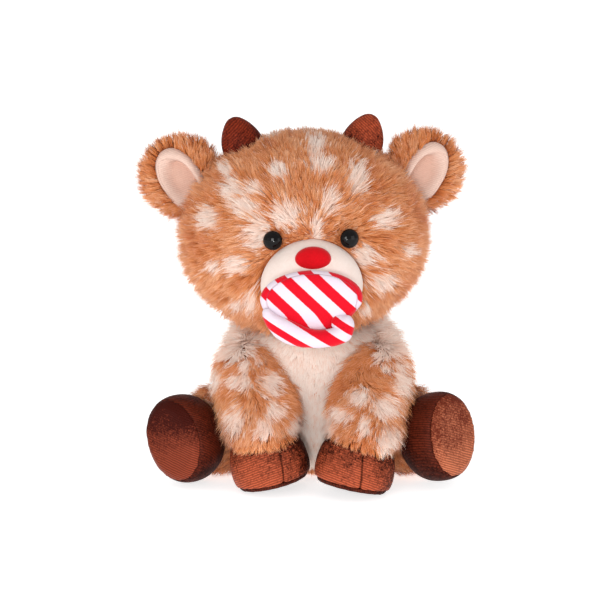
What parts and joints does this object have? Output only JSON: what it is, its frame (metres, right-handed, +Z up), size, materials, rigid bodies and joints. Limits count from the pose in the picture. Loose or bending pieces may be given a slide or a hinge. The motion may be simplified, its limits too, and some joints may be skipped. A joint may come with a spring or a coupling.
{
  "type": "plush deer toy",
  "caption": "Seated plush fawn with long spotted fur, velvet hooves and horns, cream muzzle, red nose, safety eyes and a striped pacifier held by a magnet.",
  "frame": {"origin": "on the floor, under the middle of the torso's flat seat", "axes": "+Z up; the toy looks along -Y; +X is the side on the right as seen from the front; the seat faces -Z"},
  "size_m": [0.2464, 0.194, 0.2698],
  "materials": {
    "spotted_fur": "long ginger fur with cream spots",
    "cream_fur": "short cream fur",
    "cream_velour": "short smooth velour",
    "red_velour": "short smooth velour",
    "ear_velour": "short smooth velour",
    "hoof_velvet": "ribbed brown velvet",
    "sole_velvet": "ribbed brown velvet, pile brushed the other way",
    "horn_velvet": "ribbed brown velvet",
    "striped_velour": "white velour with slanted red stripes",
    "fibre_filling": "loose polyester fibre",
    "eye_plastic": "polished",
    "washer_plastic": "moulded",
    "magnet": "nickel plated"
  },
  "bodies": {
    "torso": {"torso_skin": "spotted_fur", "chest_panel": "cream_fur", "torso_filling": "fibre_filling", "tail": "spotted_fur"},
    "head": {"head_skin": "spotted_fur", "head_filling": "fibre_filling", "muzzle": "cream_velour", "nose": "red_velour", "muzzle_magnet": "magnet", "eye_left": "eye_plastic", "eye_right": "eye_plastic", "eye_washer_left": "washer_plastic", "eye_washer_right": "washer_plastic", "horn_left": "horn_velvet", "horn_right": "horn_velvet"},
    "pacifier": {"pacifier_shield": "striped_velour", "pacifier_handle": "striped_velour", "pacifier_magnet": "magnet"},
    "ear_left": {"ear_left": "spotted_fur", "ear_lining_left": "ear_velour"},
    "front_leg_left": {"front_leg_left": "spotted_fur", "front_hoof_left": "hoof_velvet", "front_sole_left": "sole_velvet"},
    "hind_leg_left": {"hind_leg_left": "spotted_fur", "hind_hoof_left": "hoof_velvet", "hind_sole_left": "sole_velvet"},
    "ear_right": {"ear_right": "spotted_fur", "ear_lining_right": "ear_velour"},
    "front_leg_right": {"front_leg_right": "spotted_fur", "front_hoof_right": "hoof_velvet", "front_sole_right": "sole_velvet"},
    "hind_leg_right": {"hind_leg_right": "spotted_fur", "hind_hoof_right": "hoof_velvet", "hind_sole_right": "sole_velvet"}
  },
  "joints": [
    {"name": "head_turn", "type": "hinge", "parent": "torso", "child": "head", "pos_m": [-0.006, -0.002, 0.108], "axis": [0, 0, 1], "range_deg": [-20, 20]},
    {"name": "ear_left_flex", "type": "hinge", "parent": "head", "child": "ear_left", "pos_m": [-0.08833, -0.00876, 0.20922], "axis": [0.8254, -0.0883, 0.5575], "range_deg": [-15, 20]},
    {"name": "ear_right_flex", "type": "hinge", "parent": "head", "child": "ear_right", "pos_m": [0.07326, 0.00254, 0.21176], "axis": [0.8222, 0.2035, -0.5316], "range_deg": [-15, 20]},
    {"name": "front_leg_left_swing", "type": "hinge", "parent": "torso", "child": "front_leg_left", "pos_m": [-0.046, -0.025, 0.078], "axis": [-1, 0, 0], "range_deg": [0, 35]},
    {"name": "front_leg_right_swing", "type": "hinge", "parent": "torso", "child": "front_leg_right", "pos_m": [0.046, -0.025, 0.078], "axis": [-1, 0, 0], "range_deg": [0, 35]},
    {"name": "hind_leg_left_splay", "type": "hinge", "parent": "torso", "child": "hind_leg_left", "pos_m": [-0.057, -0.01, 0.036], "axis": [0, 0, -1], "range_deg": [0, 15]},
    {"name": "hind_leg_right_splay", "type": "hinge", "parent": "torso", "child": "hind_leg_right", "pos_m": [0.057, -0.01, 0.036], "axis": [0, 0, 1], "range_deg": [0, 15]},
    {"name": "pacifier_pull", "type": "slide", "parent": "head", "child": "pacifier", "axis": [0.0698, -0.9976, 0], "range_m": [0, 0.06]}
  ]
}
